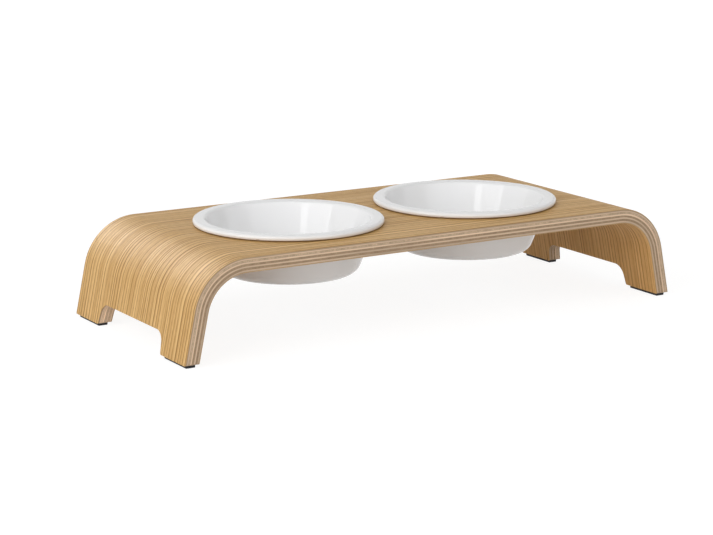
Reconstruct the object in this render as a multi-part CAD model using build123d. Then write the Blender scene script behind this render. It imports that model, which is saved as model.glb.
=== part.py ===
from build123d import *
from math import cos, radians, tan
import os

# A low feeding station: a bent plywood board that holds two lift-out bowls.
# Sizes are in millimetres and angles in degrees.
# X runs along the board, Y across it and Z up.
# The origin is on the floor, below the middle of the board.

# Bowl: a slanted round wall with a flat lip
NECK_RADIUS = 71.5
WALL_SLANT = 21.5
WALL_THICKNESS = 5.5
BOWL_DROP = 40.0
FLOOR_THICKNESS = 5.0
OUTER_CORNER_RADIUS = 10.0
INNER_CORNER_RADIUS = 14.0
FOOT_RING_WIDTH = 4.0
FOOT_RING_HEIGHT = 1.0
LIP_OVERHANG = 6.0
LIP_THICKNESS = 5.0
LIP_INNER_ROUNDING = 3.0
# Each fillet at the lip's edge, as a share of its thickness: two of them make a full round
LIP_EDGE_ROUNDING = 0.49

# Board: veneers glued in a mould, bent down at both ends
BOARD_RISE = 77.5
BEND_RADIUS = 46.0
LEG_SPLAY = 12.0
FACE_VENEER = 0.75
CORE_PLY = 1.5
CORE_PLY_COUNT = 7
EDGE_EASING = 0.5
HOLE_CLEARANCE = 0.8
GAP_BETWEEN_LIPS = 17.0
LIP_TO_BEND = 14.0
LIP_TO_SIDE = 19.5

# Feet: what a notch leaves of each leg
FOOT_WIDTH = 41.5
NOTCH_HEIGHT = 17.0
NOTCH_SLANT = 10.0
NOTCH_CORNER_RADIUS = 10.0
FOOT_CORNER_RADIUS = 1.5

# Pads under the feet
PAD_THICKNESS = 2.5
PAD_SIDE_INSET = 2.1
PAD_END_INSET = 2.7
PAD_CORNER_RADIUS = 0.8

# Sizes that follow from the ones above
LIP_RADIUS = NECK_RADIUS + LIP_OVERHANG
HOLE_RADIUS = NECK_RADIUS + HOLE_CLEARANCE
BOWL_X = LIP_RADIUS + GAP_BETWEEN_LIPS / 2
BEND_X = BOWL_X + LIP_RADIUS + LIP_TO_BEND
BOARD_WIDTH = 2 * (LIP_RADIUS + LIP_TO_SIDE)
BOARD_THICKNESS = CORE_PLY_COUNT * CORE_PLY + 2 * FACE_VENEER
FOOT_Z = PAD_THICKNESS
TOP_Z = FOOT_Z + BOARD_RISE
# How far a cutting shape stands past what it cuts
OVERRUN = 10.0


def corner_x(depth):
    """Where the top and the leg would meet in a sharp corner, this deep in the board."""
    return BEND_X + (BEND_RADIUS - depth) * tan(radians(90 - LEG_SPLAY) / 2)


def foot_x(depth):
    """Where the leg ends above its pad, this deep in the board."""
    return corner_x(depth) + (BOARD_RISE - depth) * tan(radians(LEG_SPLAY))


def bent_line(depth):
    """Side view of the bent board at one depth below its outer skin, foot to foot."""
    z = TOP_Z - depth
    points = [
        (-foot_x(depth), FOOT_Z),
        (-corner_x(depth), z),
        (corner_x(depth), z),
        (foot_x(depth), FOOT_Z),
    ]
    return FilletPolyline(*points, radius=BEND_RADIUS - depth)


def sheet(depth, thickness):
    """A bent sheet across the whole width, between two depths."""
    over = bent_line(depth)
    under = bent_line(depth + thickness)
    ends = [Line(over @ 0, under @ 0), Line(over @ 1, under @ 1)]
    section = make_face(over.edges() + under.edges() + ends)
    return extrude(Plane.XZ * section, amount=BOARD_WIDTH / 2, both=True)


def end_view():
    """View along the board of all that the notches leave, as a solid along X."""
    side = BOARD_WIDTH / 2
    notch = side - FOOT_WIDTH
    notch_top = notch - NOTCH_HEIGHT * tan(radians(NOTCH_SLANT))
    half = [
        (side, TOP_Z + OVERRUN),
        (side, FOOT_Z),
        (notch, FOOT_Z),
        (notch_top, FOOT_Z + NOTCH_HEIGHT),
    ]
    corners = [0, FOOT_CORNER_RADIUS, FOOT_CORNER_RADIUS, NOTCH_CORNER_RADIUS]
    points = half + [(-y, z) for y, z in reversed(half)]
    outline = FilletPolyline(*points, radius=corners + corners[::-1], close=True)
    length = foot_x(0) + OVERRUN
    return extrude(Plane.YZ * make_face(outline), amount=length, both=True)


def board_blank():
    """The whole board in one piece: bent, eased along its edges, notched and drilled."""
    board = sheet(0, BOARD_THICKNESS)
    for side in (-1, 1):
        y = side * BOARD_WIDTH / 2
        long_edges = board.edges().filter_by_position(Axis.Y, y - EDGE_EASING, y + EDGE_EASING)
        long_edges = [edge for edge in long_edges if edge.center().Z > FOOT_Z + EDGE_EASING]
        board = fillet(long_edges, EDGE_EASING)
    board = board & end_view()
    for side in (-1, 1):
        drill = Cylinder(HOLE_RADIUS, 2 * (BOARD_THICKNESS + OVERRUN))
        board -= Pos(side * BOWL_X, 0, TOP_Z) * drill
    rims = board.edges().filter_by(GeomType.CIRCLE).filter_by(Plane.XY)
    return fillet(rims, EDGE_EASING)


def bowl():
    """One bowl, turned about Z, with the underside of its lip at height 0."""
    slope = tan(radians(WALL_SLANT))
    wall_across = WALL_THICKNESS / cos(radians(WALL_SLANT))
    base_radius = NECK_RADIUS - BOWL_DROP * slope
    ring_radius = base_radius - OUTER_CORNER_RADIUS * tan(radians(90 - WALL_SLANT) / 2)
    recess_radius = ring_radius - FOOT_RING_WIDTH
    floor_z = FLOOR_THICKNESS - BOWL_DROP
    points = [
        (0, FOOT_RING_HEIGHT - BOWL_DROP),
        (recess_radius - FOOT_RING_HEIGHT, FOOT_RING_HEIGHT - BOWL_DROP),
        (recess_radius, -BOWL_DROP),
        (base_radius, -BOWL_DROP),
        (NECK_RADIUS, 0),
        (LIP_RADIUS, 0),
        (LIP_RADIUS, LIP_THICKNESS),
        (NECK_RADIUS - wall_across + LIP_THICKNESS * slope, LIP_THICKNESS),
        (NECK_RADIUS - wall_across + floor_z * slope, floor_z),
        (0, floor_z),
    ]
    lip_edge = LIP_EDGE_ROUNDING * LIP_THICKNESS
    base_corners = [0, 0, 0, OUTER_CORNER_RADIUS]
    lip_corners = [0, lip_edge, lip_edge, LIP_INNER_ROUNDING]
    radii = base_corners + lip_corners + [INNER_CORNER_RADIUS, 0]
    outline = FilletPolyline(*points, radius=radii, close=True)
    return revolve(Plane.XZ * make_face(outline), Axis.Z)


def pad():
    """One pad, centred below its foot, with its underside at height 0."""
    width = foot_x(0) - foot_x(BOARD_THICKNESS) - 2 * PAD_SIDE_INSET
    length = FOOT_WIDTH - 2 * PAD_END_INSET
    return extrude(RectangleRounded(width, length, PAD_CORNER_RADIUS), PAD_THICKNESS)


def layers():
    """Name, depth and thickness of each veneer, from the outer skin inwards."""
    depth = 0
    stack = [("top_face_veneer", FACE_VENEER)]
    stack += [(f"core_ply_{i + 1}", CORE_PLY) for i in range(CORE_PLY_COUNT)]
    stack += [("under_face_veneer", FACE_VENEER)]
    for name, thickness in stack:
        yield name, depth, thickness
        depth += thickness


def build():
    """Every piece in its place, by name."""
    pieces = {}
    board = board_blank()
    for name, depth, thickness in layers():
        pieces[name] = board & sheet(depth, thickness)
    pieces["bowl_left"] = Pos(-BOWL_X, 0, TOP_Z) * bowl()
    pieces["bowl_right"] = Pos(BOWL_X, 0, TOP_Z) * bowl()
    pad_x = (foot_x(0) + foot_x(BOARD_THICKNESS)) / 2
    pad_y = (BOARD_WIDTH - FOOT_WIDTH) / 2
    for end, sign_x in (("left", -1), ("right", 1)):
        for row, sign_y in (("front", -1), ("rear", 1)):
            pieces[f"foot_pad_{row}_{end}"] = Pos(sign_x * pad_x, sign_y * pad_y, 0) * pad()
    return pieces


os.makedirs("parts", exist_ok=True)
for name, piece in build().items():
    export_step(piece, f"parts/{name}.step")
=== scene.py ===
import math

import bmesh
import bpy
from mathutils import Euler, Matrix, Vector


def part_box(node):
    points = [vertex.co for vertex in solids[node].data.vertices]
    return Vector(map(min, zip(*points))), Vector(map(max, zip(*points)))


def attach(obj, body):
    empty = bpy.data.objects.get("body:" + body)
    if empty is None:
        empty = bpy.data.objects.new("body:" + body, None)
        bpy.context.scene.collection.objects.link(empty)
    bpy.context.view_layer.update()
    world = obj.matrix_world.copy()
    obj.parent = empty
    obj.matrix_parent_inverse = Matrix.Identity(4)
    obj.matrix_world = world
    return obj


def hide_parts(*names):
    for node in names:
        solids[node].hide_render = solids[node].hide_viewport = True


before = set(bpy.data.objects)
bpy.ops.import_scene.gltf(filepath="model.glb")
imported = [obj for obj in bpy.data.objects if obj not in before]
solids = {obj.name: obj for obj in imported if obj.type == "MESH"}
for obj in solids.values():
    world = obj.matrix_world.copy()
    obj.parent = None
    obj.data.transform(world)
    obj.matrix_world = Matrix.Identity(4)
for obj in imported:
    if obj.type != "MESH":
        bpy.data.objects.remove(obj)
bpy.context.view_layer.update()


# Core of the board
# Seven beech veneers are glued under the oak and pressed to shape in a bent mould. Each has its
# grain across its neighbours'. The edges are sawn and sanded: side grain stays pale there, and
# end grain soaks up the lacquer and turns dark.

# Each veneer, from the oak down: how much end grain darkens it, and how bright its wood is
CORE_VENEERS = {
    "core_ply_1": (0.90, 1.06),
    "core_ply_2": (0.42, 1.00),
    "core_ply_3": (0.90, 1.08),
    "core_ply_4": (0.95, 1.00),
    "core_ply_5": (0.90, 0.90),
    "core_ply_6": (1.00, 1.00),
    "core_ply_7": (0.90, 0.80),
}
CORE_THICKNESS = 0.0015
FACE_THICKNESS = 0.00075
BEECH_SIDE_GRAIN = (0.715, 0.532, 0.370)
BEECH_END_GRAIN = (0.365, 0.245, 0.150)
BEECH_SIDE_ROUGHNESS = 0.50
BEECH_END_ROUGHNESS = 0.66
BEECH_SHEEN = 0.20
BEECH_RELIEF = 0.00005

# Patches of the beech's figure: their size down the grain, over it, and into the veneer
BEECH_FIBRES = (0.030, 0.0007, 0.00035)
BEECH_BANDS = (0.110, 0.0060, 0.0040)
BEECH_PORES = (0.0040, 0.00028, 0.00028)
LATHE_CHECKS = (0.050, 0.0017, 0.0050)

# Glue has darkened a thin line along both faces of each veneer, and under the oak the top veneer
# is darker in a wider band
GLUE_BROWN = (0.300, 0.200, 0.120)
GLUE_SHARE = 0.6
GLUE_LINE = 0.00016
DARK_BAND_UNDER_OAK = 0.00100

# The sides of the notch at the left end are painted paler, with their end grain less dark:
# painted light, for the light that reaches them through the notch. They lie this close to the
# middle of the end, and this low.
NOTCH_REACH = 0.058
NOTCH_TOP = 0.024
NOTCH_BLUR = 0.001
NOTCH_END_GRAIN_LIT = 0.55
NOTCH_PAINTED_LIGHT = 0.28

# The bent board: where its flat top ends, its outer bend, and how far the legs lean out
BEND_X = 0.1775
BEND_RADIUS = 0.046
LEG_SPLAY = math.radians(12)
BEND_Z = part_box("top_face_veneer")[1].z - BEND_RADIUS
BEND_ANGLE = math.pi / 2 - LEG_SPLAY


def finish(name):
    """A new material, its node tree and its surface shader."""
    material = bpy.data.materials.new(name)
    material.use_nodes = True
    tree = material.node_tree
    return material, tree, tree.nodes["Principled BSDF"]


def feed(tree, socket, value):
    """Sets a socket to a value, or joins it to another node's output."""
    if isinstance(value, bpy.types.NodeSocket):
        tree.links.new(value, socket)
    else:
        socket.default_value = value


def reckon(tree, operation, *values):
    """One step of arithmetic on numbers or on other nodes' outputs."""
    step = tree.nodes.new("ShaderNodeMath")
    step.operation = operation
    for socket, value in zip(step.inputs, values):
        feed(tree, socket, value)
    return step.outputs[0]


def plus(tree, total, *others):
    """The sum of two or more numbers or outputs."""
    for other in others:
        total = reckon(tree, "ADD", total, other)
    return total


def minus(tree, value, taken):
    """A number or output with another taken from it."""
    return reckon(tree, "SUBTRACT", value, taken)


def times(tree, product, *others):
    """The product of two or more numbers or outputs."""
    for other in others:
        product = reckon(tree, "MULTIPLY", product, other)
    return product


def distance(tree, x, y):
    """How far the point x, y lies from the origin."""
    return reckon(tree, "SQRT", plus(tree, times(tree, x, x), times(tree, y, y)))


def stretch(tree, value, low, high, to_low=0.0, to_high=1.0):
    """Spreads low..high over to_low..to_high and holds the ends, with a soft start and stop."""
    spread = tree.nodes.new("ShaderNodeMapRange")
    spread.interpolation_type = "SMOOTHSTEP"
    ends = (value, low, high, to_low, to_high)
    for socket, end in zip(spread.inputs, ends):
        feed(tree, socket, end)
    return spread.outputs[0]


def point(tree, x, y, z):
    """Three lengths as one place in a pattern."""
    joined = tree.nodes.new("ShaderNodeCombineXYZ")
    for socket, value in zip(joined.inputs, (x, y, z)):
        feed(tree, socket, value)
    return joined.outputs[0]


def three_lengths(tree, place):
    """A place or a direction as its X, Y and Z."""
    split = tree.nodes.new("ShaderNodeSeparateXYZ")
    feed(tree, split.inputs[0], place)
    return split.outputs


def figure(tree, place, sizes, seed=0.0, detail=1.0):
    """Uneven noise from 0 to 1, in patches of these sizes, in metres, along X, Y and Z of place."""
    scaled = tree.nodes.new("ShaderNodeMapping")
    feed(tree, scaled.inputs["Vector"], place)
    scaled.inputs["Scale"].default_value = [1 / size for size in sizes]
    scaled.inputs["Location"].default_value = (seed, seed * 1.7, seed * 2.3)
    noise = tree.nodes.new("ShaderNodeTexNoise")
    feed(tree, noise.inputs["Vector"], scaled.outputs[0])
    noise.inputs["Scale"].default_value = 1.0
    noise.inputs["Detail"].default_value = detail
    return noise.outputs["Fac"]


def blend(tree, share, first, second):
    """A colour between two, by share."""
    mix = tree.nodes.new("ShaderNodeMix")
    mix.data_type = "RGBA"
    feed(tree, mix.inputs[0], share)
    for socket, colour in ((mix.inputs[6], first), (mix.inputs[7], second)):
        feed(tree, socket, (*colour, 1) if isinstance(colour, tuple) else colour)
    return mix.outputs[2]


def relief(tree, surface, height, depth):
    """Raises and sinks the surface by up to depth, in metres, as height goes from 0 to 1."""
    bump = tree.nodes.new("ShaderNodeBump")
    bump.inputs["Distance"].default_value = depth
    feed(tree, bump.inputs["Height"], height)
    feed(tree, surface.inputs["Normal"], bump.outputs[0])


def shape_of(tree):
    """The place of a point on the unmoved piece, and which way the surface faces there."""
    source = tree.nodes.new("ShaderNodeTexCoord")
    return source.outputs["Object"], source.outputs["Normal"]


def unrolled(tree):
    """Where a point lies on the board as flat stock: along it, across it, and below its skin."""
    x, y, z = three_lengths(tree, shape_of(tree)[0])
    reach = reckon(tree, "ABSOLUTE", x)
    past_flat = reckon(tree, "MAXIMUM", minus(tree, reach, BEND_X), 0.0)
    up = minus(tree, z, BEND_Z)
    turned = reckon(tree, "ARCTAN2", past_flat, up)

    flat = reckon(tree, "MINIMUM", reach, BEND_X)
    bent = times(tree, reckon(tree, "MINIMUM", turned, BEND_ANGLE), BEND_RADIUS)
    down_leg = minus(tree, times(tree, past_flat, math.sin(LEG_SPLAY)),
                     times(tree, up, math.cos(LEG_SPLAY)))
    length = plus(tree, flat, bent, reckon(tree, "MAXIMUM", down_leg, 0.0))
    along = times(tree, length, reckon(tree, "SIGN", x))

    out_of_leg = plus(tree, times(tree, past_flat, math.cos(LEG_SPLAY)),
                      times(tree, up, math.sin(LEG_SPLAY)))
    on_leg = reckon(tree, "GREATER_THAN", turned, BEND_ANGLE)
    not_on_leg = minus(tree, 1.0, on_leg)
    from_bend_middle = plus(tree, times(tree, out_of_leg, on_leg),
                            times(tree, distance(tree, past_flat, up), not_on_leg))
    depth = minus(tree, BEND_RADIUS, from_bend_middle)
    return along, y, depth


def in_left_notch(tree):
    """1 on the sides of the notch at the left end, else 0."""
    x, y, z = three_lengths(tree, shape_of(tree)[0])
    low_down = stretch(tree, z, NOTCH_TOP, NOTCH_TOP + NOTCH_BLUR, 1.0, 0.0)
    from_middle = reckon(tree, "ABSOLUTE", y)
    between_feet = stretch(tree, from_middle, NOTCH_REACH, NOTCH_REACH + NOTCH_BLUR, 1.0, 0.0)
    at_left = reckon(tree, "LESS_THAN", x, 0.0)
    return times(tree, low_down, between_feet, at_left)


def glue_lines(tree, depth, number):
    """How much glue shows at this depth, in the veneer that has so many others above it."""
    outer_face = FACE_THICKNESS + number * CORE_THICKNESS
    inner_face = outer_face + CORE_THICKNESS
    # Under the oak the dark band is wider
    darkening = DARK_BAND_UNDER_OAK if number == 0 else GLUE_LINE
    outer = stretch(tree, depth, outer_face + darkening / 2, outer_face + darkening, 1.0, 0.0)
    inner = stretch(tree, depth, inner_face - GLUE_LINE, inner_face - GLUE_LINE / 2)
    return times(tree, reckon(tree, "MAXIMUM", outer, inner), GLUE_SHARE)


def beech_veneer(name, number, end_grain_share, brightness):
    """Sawn and lacquered edge of one core veneer, with its grain along or across the board."""
    grain_along = number % 2 == 0
    seed = number * 4.7
    material, tree, surface = finish(f"beech_{name}")
    along, across, depth = unrolled(tree)
    down_grain, over_grain = (along, across) if grain_along else (across, along)
    sideways = three_lengths(tree, shape_of(tree)[1])[1]
    faces_side = times(tree, sideways, sideways)
    end_grain = minus(tree, 1.0, faces_side) if grain_along else faces_side

    place = point(tree, down_grain, over_grain, depth)
    fibres = figure(tree, place, BEECH_FIBRES, seed, 2.0)
    bands = figure(tree, place, BEECH_BANDS, seed + 3.1, 2.0)
    pores = figure(tree, place, BEECH_PORES, seed + 5.3)
    lathe_checks = figure(tree, place, LATHE_CHECKS, seed + 7.9, 2.0)

    end_tone = plus(tree, stretch(tree, pores, 0.38, 0.62, -0.11, 0.11),
                    stretch(tree, lathe_checks, 0.36, 0.64, -0.10, 0.12))
    # Painted light: in the notch the end grain is darkened less, and the wood is painted paler
    notch = in_left_notch(tree)
    darkening = times(tree, plus(tree, end_tone, end_grain_share), end_grain,
                   stretch(tree, notch, 0.0, 1.0, 1.0, NOTCH_END_GRAIN_LIT))
    wood = blend(tree, darkening, BEECH_SIDE_GRAIN, BEECH_END_GRAIN)

    shade = plus(tree, stretch(tree, fibres, 0.34, 0.66, -0.10, 0.10),
                 stretch(tree, bands, 0.35, 0.65, -0.09, 0.09), brightness,
                 times(tree, notch, NOTCH_PAINTED_LIGHT))
    toned = tree.nodes.new("ShaderNodeHueSaturation")
    feed(tree, toned.inputs["Value"], shade)
    feed(tree, toned.inputs["Color"], wood)
    edge = blend(tree, glue_lines(tree, depth, number), toned.outputs[0], GLUE_BROWN)
    feed(tree, surface.inputs["Base Color"], edge)

    roughness = stretch(tree, end_grain, 0.0, 1.0, BEECH_SIDE_ROUGHNESS, BEECH_END_ROUGHNESS)
    feed(tree, surface.inputs["Roughness"], roughness)
    surface.inputs["Specular IOR Level"].default_value = BEECH_SHEEN
    height = plus(tree, fibres, times(tree, pores, end_grain))
    relief(tree, surface, height, BEECH_RELIEF)
    return material


for number, (name, looks) in enumerate(CORE_VENEERS.items()):
    solids[name].material_slots[0].material = beech_veneer(name, number, *looks)


# Oak faces of the board
# One rift-cut oak veneer, 0.75 mm thick, covers each side of the board. It is glued on with its
# grain along the board, so the lines run over the bends and down the legs, under satin lacquer.

# The under sheet is calmer and redder, and its cut edge took less of the lacquer
OAK_SHEETS = {
    "top_face_veneer": {
        "light": (0.725, 0.475, 0.200),
        "middle": (0.562, 0.334, 0.118),
        "dark": (0.332, 0.172, 0.046),
        "cut_edge": (0.420, 0.280, 0.152),
        "contrast": 1.0,
        "seed": 47.0,
    },
    "under_face_veneer": {
        "light": (0.790, 0.496, 0.212),
        "middle": (0.612, 0.349, 0.125),
        "dark": (0.361, 0.180, 0.049),
        "cut_edge": (0.500, 0.335, 0.185),
        "contrast": 0.65,
        "seed": 31.0,
    },
}
OAK_ROUGH = 0.56
OAK_SMOOTH = 0.46
OAK_SHEEN = 0.16
OAK_RELIEF = 0.00006

# Widths of the growth rings, and patches of the oak's figure: down the grain, over it, and deep
GROWTH_RING = 0.0044
WIDE_RING = GROWTH_RING * 1.75
FINE_RING = GROWTH_RING * 0.70
GRAIN_WANDER = (0.260, 0.070, 0.010)
GRAIN_DRIFT = 0.007
RING_STRENGTH = (0.45, 0.0090, 0.002)
OAK_BROAD = (0.90, 0.011, 0.004)
OAK_LINES = (0.16, 0.0014, 0.001)
OAK_HAIR = (0.040, 0.00055, 0.0008)
OAK_PORES = (0.0055, 0.00034, 0.0006)
OAK_FLECKS = (0.0065, 0.0011, 0.001)
# The mean of spring wood over a ring, taken off so that the rings don't darken the whole sheet
MEAN_SPRING_WOOD = 0.31

# Painted shadow: under each resting lip the oak is painted darker, in uneven patches, out to
# the lip's edge
LIP_SHADOW_BROWN = (0.130, 0.074, 0.031)
LIP_SHADOW_PATCHES = (0.020, 0.020, 0.020)
LIP_SHADOW_FADE = 0.0020


def ring_waves(tree, place, over_grain, width, wander, seed):
    """Waves from -1 to 1 across the grain, one per ring, whose widths wander."""
    uneven = figure(tree, place, (1.20, width * 3.5, 0.004), seed, 0.0)
    count = plus(tree, reckon(tree, "DIVIDE", over_grain, width), times(tree, uneven, wander * 3))
    return reckon(tree, "SINE", times(tree, count, 2 * math.pi))


def painted_lip_shadow(tree):
    """How much painted shadow darkens the oak under each lip."""
    place = shape_of(tree)[0]
    x, y = three_lengths(tree, place)[:2]
    low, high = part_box("bowl_right")
    hole_x = (low.x + high.x) / 2
    lip_radius = (high.x - low.x) / 2
    out = distance(tree, minus(tree, reckon(tree, "ABSOLUTE", x), hole_x), y)
    shadow_strength = stretch(tree, figure(tree, place, LIP_SHADOW_PATCHES, 5.0, 2.0), 0.35, 0.65, 0.40, 0.56)
    shaded_under_lip = stretch(tree, out, lip_radius - LIP_SHADOW_FADE, lip_radius, 1.0, 0.0)
    return times(tree, shadow_strength, shaded_under_lip)


def oak_veneer(name, light, middle, dark, cut_edge, contrast, seed):
    """Lacquered face of one oak sheet, with its growth rings, open pores and sawn edge."""
    material, tree, surface = finish(f"oak_{name}")
    along, across, depth = unrolled(tree)
    wander = figure(tree, point(tree, along, across, depth), GRAIN_WANDER, seed, 0.0)
    over_grain = plus(tree, across, times(tree, minus(tree, wander, 0.5), GRAIN_DRIFT))
    place = point(tree, along, over_grain, depth)

    # Growth rings lie side by side, each with a dark porous line where its spring wood begins
    rings = ring_waves(tree, place, over_grain, GROWTH_RING, 0.85, seed + 1.3)
    wide_rings = ring_waves(tree, place, over_grain, WIDE_RING, 1.3, seed + 5.3)
    fine_rings = ring_waves(tree, place, over_grain, FINE_RING, 1.6, seed + 7.1)
    spring_wood = stretch(tree, rings, 0.15, 0.95)
    ring_strength = stretch(tree, figure(tree, place, RING_STRENGTH, seed + 2.9),
                            0.35, 0.65, 0.35, 1.0)
    ring_tone = times(tree, minus(tree, spring_wood, MEAN_SPRING_WOOD), ring_strength)

    broad = figure(tree, place, OAK_BROAD, seed + 3.7, 0.0)
    lines = figure(tree, place, OAK_LINES, seed + 4.1, 0.0)
    hair = figure(tree, place, OAK_HAIR, seed + 6.7)
    pores = figure(tree, place, OAK_PORES, seed + 8.3, 0.0)
    flecks = figure(tree, place, OAK_FLECKS, seed + 9.9)
    in_spring_wood = plus(tree, 0.25, times(tree, spring_wood, 0.75))
    open_pores = times(tree, stretch(tree, pores, 0.62, 0.72), in_spring_wood)

    # How far each part of the figure lightens or darkens the wood
    tone = plus(tree, stretch(tree, broad, 0.30, 0.70, -0.02, 0.02),
                times(tree, ring_tone, -1.2),
                times(tree, wide_rings, 0.03),
                times(tree, fine_rings, 0.16),
                stretch(tree, lines, 0.32, 0.68, -0.30, 0.30),
                stretch(tree, hair, 0.32, 0.68, -0.24, 0.24),
                stretch(tree, flecks, 0.32, 0.70, -0.12, 0.20),
                times(tree, open_pores, -0.45))
    tone = times(tree, tone, contrast)

    darker = blend(tree, stretch(tree, tone, -0.95, 0.05), dark, middle)
    wood = blend(tree, stretch(tree, tone, 0.0, 0.80), darker, light)
    # Painted shadow under each lip
    wood = blend(tree, painted_lip_shadow(tree), wood, LIP_SHADOW_BROWN)
    sideways = reckon(tree, "ABSOLUTE", three_lengths(tree, shape_of(tree)[1])[1])
    wood = blend(tree, stretch(tree, sideways, 0.55, 0.95), wood, cut_edge)
    feed(tree, surface.inputs["Base Color"], wood)
    feed(tree, surface.inputs["Roughness"],
         stretch(tree, lines, 0.3, 0.7, OAK_ROUGH, OAK_SMOOTH))
    surface.inputs["Specular IOR Level"].default_value = OAK_SHEEN
    relief(tree, surface, minus(tree, times(tree, lines, 0.5), open_pores), OAK_RELIEF)
    return material


for name, sheet in OAK_SHEETS.items():
    solids[name].material_slots[0].material = oak_veneer(name, **sheet)


# Foot pads
# A strip of black foam rubber is stuck under each foot. It is die-cut from sheet, so its sides are
# square and its corners are a little round, and its lower edge has worn soft.

PAD_NODES = [f"foot_pad_{row}_{end}" for end in ("left", "right") for row in ("front", "rear")]
PAD_CORNER = 0.0008
PAD_CORNER_STEPS = 5
# Rings of the pad from its underside up: height as a share of the whole, and how far it is let in
PAD_RINGS = ((0.0, 0.0007), (0.0, 0.00035), (0.04, 0.00012), (0.13, 0.0), (0.45, 0.0),
             (0.80, 0.0), (0.97, 0.00004), (1.0, 0.00012), (1.0, 0.0007))
RUBBER_BLACK = (0.012, 0.011, 0.012)
RUBBER_DUSTY = (0.030, 0.027, 0.026)
RUBBER_CELLS = (0.00022, 0.00022, 0.00022)
RUBBER_DUST = (0.006, 0.006, 0.002)
RUBBER_RELIEF = 0.00006


def foam_rubber():
    """Black foam with fine open cells and a little dust."""
    material, tree, surface = finish("black_foam_rubber")
    place = shape_of(tree)[0]
    cells = figure(tree, place, RUBBER_CELLS, 0.0, 2.0)
    dust = figure(tree, place, RUBBER_DUST, 4.0, 3.0)
    dusty = stretch(tree, dust, 0.5, 0.75, 0.0, 0.5)
    feed(tree, surface.inputs["Base Color"], blend(tree, dusty, RUBBER_BLACK, RUBBER_DUSTY))
    feed(tree, surface.inputs["Roughness"], stretch(tree, cells, 0.3, 0.7, 0.70, 0.85))
    relief(tree, surface, cells, RUBBER_RELIEF)
    return material


def rounded_outline(half_x, half_y, corner):
    """Points round a rectangle with round corners, anticlockwise."""
    outline = []
    for quarter, (sign_x, sign_y) in enumerate(((1, 1), (-1, 1), (-1, -1), (1, -1))):
        for step in range(PAD_CORNER_STEPS + 1):
            turn = (quarter + step / PAD_CORNER_STEPS) * math.pi / 2
            outline.append((sign_x * (half_x - corner) + corner * math.cos(turn),
                            sign_y * (half_y - corner) + corner * math.sin(turn)))
    return outline


def stuck_pad(node, material):
    """One pad, built of rings in the place of the solid it stands for."""
    low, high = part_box(node)
    middle = (low + high) / 2
    half = (high - low) / 2
    pad = bmesh.new()
    rings = []
    for share, inset in PAD_RINGS:
        z = low.z + share * (high.z - low.z)
        outline = rounded_outline(half.x - inset, half.y - inset, PAD_CORNER - inset)
        rings.append([pad.verts.new((middle.x + x, middle.y + y, z)) for x, y in outline])
    for lower, upper in zip(rings, rings[1:]):
        for i in range(len(lower)):
            j = (i + 1) % len(lower)
            pad.faces.new((lower[i], lower[j], upper[j], upper[i]))
    pad.faces.new(rings[0][::-1])
    pad.faces.new(rings[-1])
    mesh = bpy.data.meshes.new(f"stuck_{node}")
    pad.to_mesh(mesh)
    pad.free()
    for face in mesh.polygons:
        face.use_smooth = len(face.vertices) == 4
    piece = bpy.data.objects.new(f"stuck_{node}", mesh)
    piece.data.materials.append(material)
    bpy.context.scene.collection.objects.link(piece)
    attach(piece, "board")
    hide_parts(node)


rubber = foam_rubber()
for node in PAD_NODES:
    stuck_pad(node, rubber)


# Bowls
# Two bowls are turned from brown stoneware, dipped in a white glaze and fired on a bare foot ring.
# Each hangs by its lip in a hole of the board, and nothing holds it down.

BOWL_NODES = ["bowl_left", "bowl_right"]
LIP_THICKNESS = 0.005
# Bare brown clay of the foot ring; the same brown is painted under the lip as its shadow
BARE_CLAY_AND_LIP_SHADE = (0.300, 0.185, 0.085)
BARE_ROUGHNESS = 0.80
GLAZE_WHITE = (0.855, 0.855, 0.860)
GLAZE_THIN = (0.830, 0.825, 0.815)
# Outside, below the lip, the glaze is painted warmer: painted bounce light, for the warm light
# thrown up from the oak
GLAZE_WARM_BOUNCE = (0.850, 0.832, 0.816)
# The gloss is hard below the lip and softer on it, where the bowl is handled
GLAZE_ROUGHNESS = 0.05
LIP_ROUGHNESS = 0.20
# Where one finish turns into the next, in metres below the rim
OUTSIDE_FROM = 0.006
OUTSIDE_FULL = 0.014
LIP_GLOSS_END = 0.0035
HARD_GLOSS_FROM = 0.0060
# Where the bare foot ring turns into glaze, in metres above the foot, and how sharply the band
# of painted shade under the lip ends
FOOT_BARE = 0.0002
FOOT_GLAZED = 0.0006
LIP_SHADE_EDGE = 0.0002
GLAZE_CLOUDS = (0.060, 0.060, 0.030)
GLAZE_RIPPLES = (0.016, 0.016, 0.010)
STONEWARE_GRIT = (0.0006, 0.0006, 0.0006)
GLAZE_RELIEF = 0.00004


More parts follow.
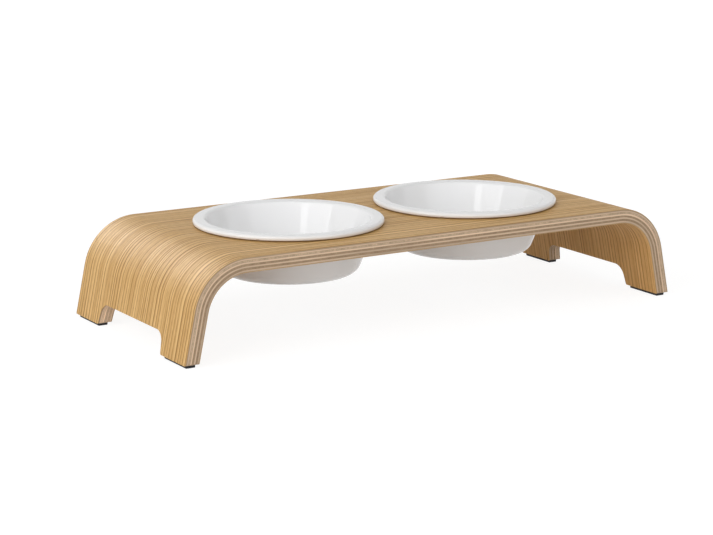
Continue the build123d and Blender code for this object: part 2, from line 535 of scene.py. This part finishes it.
def glazed_stoneware(node):
    """White glaze, with bare clay on the foot ring, and its brown painted as shade in a band under
    the lip.
    """
    material, tree, surface = finish(f"white_glaze_{node}")
    low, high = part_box(node)
    place, facing = shape_of(tree)
    height = three_lengths(tree, place)[2]
    below_rim = minus(tree, high.z, height)
    facing_up = three_lengths(tree, facing)[2]

    clouds = figure(tree, place, GLAZE_CLOUDS, low.x * 100, 2.0)
    glaze = blend(tree, stretch(tree, clouds, 0.40, 0.75, 0.0, 0.5), GLAZE_WHITE, GLAZE_THIN)
    # Painted bounce light: the outside below the lip, where it faces down, is tinted warm
    warm_bounce = times(tree, stretch(tree, facing_up, -0.1, 0.1, 1.0, 0.0),
                    stretch(tree, below_rim, OUTSIDE_FROM, OUTSIDE_FULL))
    glaze = blend(tree, warm_bounce, glaze, GLAZE_WARM_BOUNCE)

    foot = stretch(tree, minus(tree, height, low.z), FOOT_BARE, FOOT_GLAZED, 1.0, 0.0)
    # Painted shade: the lip's underside is painted brown, for the shadow where it rests on the
    # board
    in_lip = stretch(tree, below_rim, LIP_THICKNESS, LIP_THICKNESS + LIP_SHADE_EDGE, 1.0, 0.0)
    shaded_under_lip = times(tree, in_lip, stretch(tree, facing_up, -0.70, -0.38, 1.0, 0.0))
    bare_or_shaded = reckon(tree, "MAXIMUM", foot, shaded_under_lip)
    feed(tree, surface.inputs["Base Color"], blend(tree, bare_or_shaded, glaze, BARE_CLAY_AND_LIP_SHADE))

    gloss = stretch(tree, below_rim, LIP_GLOSS_END, HARD_GLOSS_FROM,
                    LIP_ROUGHNESS, GLAZE_ROUGHNESS)
    feed(tree, surface.inputs["Roughness"],
         stretch(tree, bare_or_shaded, 0.0, 1.0, gloss, BARE_ROUGHNESS))
    ripples = figure(tree, place, GLAZE_RIPPLES, low.x * 50)
    grit = figure(tree, place, STONEWARE_GRIT, 2.0, 2.0)
    uneven = plus(tree, ripples, times(tree, grit, bare_or_shaded, 0.5))
    relief(tree, surface, uneven, GLAZE_RELIEF)
    return material


for node in BOWL_NODES:
    solids[node].material_slots[0].material = glazed_stoneware(node)


# Studio
# A plain white floor in a white room, soft boxes all round, and a camera with a long lens. Some
# of the boxes show only in the gloss of the bowls or of the wood.

FLOOR_RADIUS = 3.0
FLOOR_SIDES = 96
FLOOR_WHITE = (0.88, 0.88, 0.88)
FLOOR_ROUGHNESS = 0.9
FLOOR_SHEEN = 0.1
# What the camera sees of the floor: its own glow, which is full away from the board, and over
# that a share of the light that falls on it
FLOOR_GLOW = 0.89
GLOW_FROM = 0.35
GLOW_FULL = 0.90
SHADOW_SHARE = (0.20, 0.20, 0.20)
WORLD_FILL = 0.37
CAMERA_PLACE = Vector((-0.93968, -1.48560, 0.42957))
CAMERA_AZIMUTH = -31.7195
CAMERA_ELEVATION = 12.7278
CAMERA_ROLL = 0.0945
CAMERA_LENS = 109.2055
CAMERA_CLIP = 0.05
# The boxes face this place. Each has its azimuth and elevation from there, its distance, width,
# height and glow, and what takes its light: everything, matt surfaces only, or only the gloss of
# the wood or of the glaze.
AIM = Vector((0, 0, 0.05))
SOFT_BOXES = {
    "left_box": (-76, 23, 2.2, 1.69, 1.69, 2.75, "all"),
    "right_box": (55, 25, 3.0, 2.25, 1.70, 0.85, "all"),
    "overhead_fill_box": (-60, 78, 2.4, 2.55, 2.25, 0.25, "matt"),
    "left_fill_box": (-42, 25, 2.2, 1.25, 1.25, 0.5, "matt"),
    "front_fill_box": (12, 12, 1.6, 0.90, 0.90, 0.85, "matt"),
    "rear_fill_box": (-170, 34, 2.2, 1.40, 1.15, 0.6, "matt"),
    "rear_sheen_box": (-160, 31, 2.2, 1.40, 1.15, 7.6, "wood"),
    "front_gloss_box": (-14, 25, 2.2, 3.82, 2.60, 1.65, "glaze"),
    "rear_gloss_box": (-124, 20, 2.2, 2.20, 1.60, 0.8, "glaze"),
}
GLOSSY_PIECES = {
    "wood": [*CORE_VENEERS, *OAK_SHEETS],
    "glaze": BOWL_NODES,
}


def direction(azimuth, elevation):
    """Azimuth 0 points to the front of the board, along -Y, and 90 along +X."""
    turn, lift = math.radians(azimuth), math.radians(elevation)
    return Vector((math.sin(turn) * math.cos(lift), -math.cos(turn) * math.cos(lift),
                   math.sin(lift)))


def in_plain_sight(tree):
    """1 where the camera or a mirrored ray looks, else 0."""
    rays = tree.nodes.new("ShaderNodeLightPath")
    return reckon(tree, "MAXIMUM", rays.outputs["Is Camera Ray"], rays.outputs["Is Glossy Ray"])


def white_floor():
    """White paint that shows as plain white, with a faint shadow."""
    material, tree, surface = finish("white_sweep")
    surface.inputs["Base Color"].default_value = (*FLOOR_WHITE, 1)
    surface.inputs["Roughness"].default_value = FLOOR_ROUGHNESS
    surface.inputs["Specular IOR Level"].default_value = FLOOR_SHEEN
    seen = in_plain_sight(tree)
    x, y = three_lengths(tree, shape_of(tree)[0])[:2]
    shadow = tree.nodes.new("ShaderNodeBsdfDiffuse")
    shadow.inputs["Color"].default_value = (*SHADOW_SHARE, 1)
    glow = tree.nodes.new("ShaderNodeEmission")
    feed(tree, glow.inputs["Strength"],
         stretch(tree, distance(tree, x, y), GLOW_FROM, GLOW_FULL, FLOOR_GLOW, 1.0))
    shown = tree.nodes.new("ShaderNodeAddShader")
    feed(tree, shown.inputs[0], shadow.outputs[0])
    feed(tree, shown.inputs[1], glow.outputs[0])
    chosen = tree.nodes.new("ShaderNodeMixShader")
    feed(tree, chosen.inputs[0], seen)
    feed(tree, chosen.inputs[1], surface.outputs[0])
    feed(tree, chosen.inputs[2], shown.outputs[0])
    feed(tree, tree.nodes["Material Output"].inputs["Surface"], chosen.outputs[0])
    return material


disc = bmesh.new()
bmesh.ops.create_circle(disc, cap_ends=True, radius=FLOOR_RADIUS, segments=FLOOR_SIDES)
floor_mesh = bpy.data.meshes.new("floor")
disc.to_mesh(floor_mesh)
disc.free()
floor = bpy.data.objects.new("floor", floor_mesh)
floor.data.materials.append(white_floor())
bpy.context.scene.collection.objects.link(floor)

world = bpy.data.worlds.new("white_room")
world.use_nodes = True
room = world.node_tree
through_glass = room.nodes.new("ShaderNodeLightPath").outputs["Is Transmission Ray"]
seen = reckon(room, "MAXIMUM", in_plain_sight(room), through_glass)
feed(room, room.nodes["Background"].inputs["Strength"],
     stretch(room, seen, 0.0, 1.0, WORLD_FILL, 1.0))
room.nodes["Background"].inputs["Color"].default_value = (1, 1, 1, 1)
bpy.context.scene.world = world

for name, (azimuth, elevation, away, width, height, glow, taker) in SOFT_BOXES.items():
    lamp = bpy.data.lights.new(name, "AREA")
    lamp.shape = "RECTANGLE"
    lamp.size = width
    lamp.size_y = height
    lamp.energy = glow * math.pi * width * height
    box = bpy.data.objects.new(name, lamp)
    towards = direction(azimuth, elevation)
    box.location = AIM + towards * away
    box.rotation_euler = towards.to_track_quat("Z", "Y").to_euler()
    box.visible_camera = False
    box.visible_diffuse = taker in ("all", "matt")
    box.visible_glossy = taker != "matt"
    if taker in GLOSSY_PIECES:
        lit_pieces = bpy.data.collections.new(f"{name}_lights")
        for node in GLOSSY_PIECES[taker]:
            lit_pieces.objects.link(solids[node])
        box.light_linking.receiver_collection = lit_pieces
    bpy.context.scene.collection.objects.link(box)

lens = bpy.data.cameras.new("camera")
lens.lens = CAMERA_LENS
lens.clip_start = CAMERA_CLIP
camera = bpy.data.objects.new("camera", lens)
camera.location = CAMERA_PLACE
tilt = Euler((math.radians(90 - CAMERA_ELEVATION), 0, math.radians(CAMERA_AZIMUTH)))
roll = Matrix.Rotation(math.radians(CAMERA_ROLL), 3, "Z")
camera.rotation_euler = (tilt.to_matrix() @ roll).to_euler()
bpy.context.scene.collection.objects.link(camera)
bpy.context.scene.camera = camera
bpy.context.scene.view_settings.view_transform = "Standard"
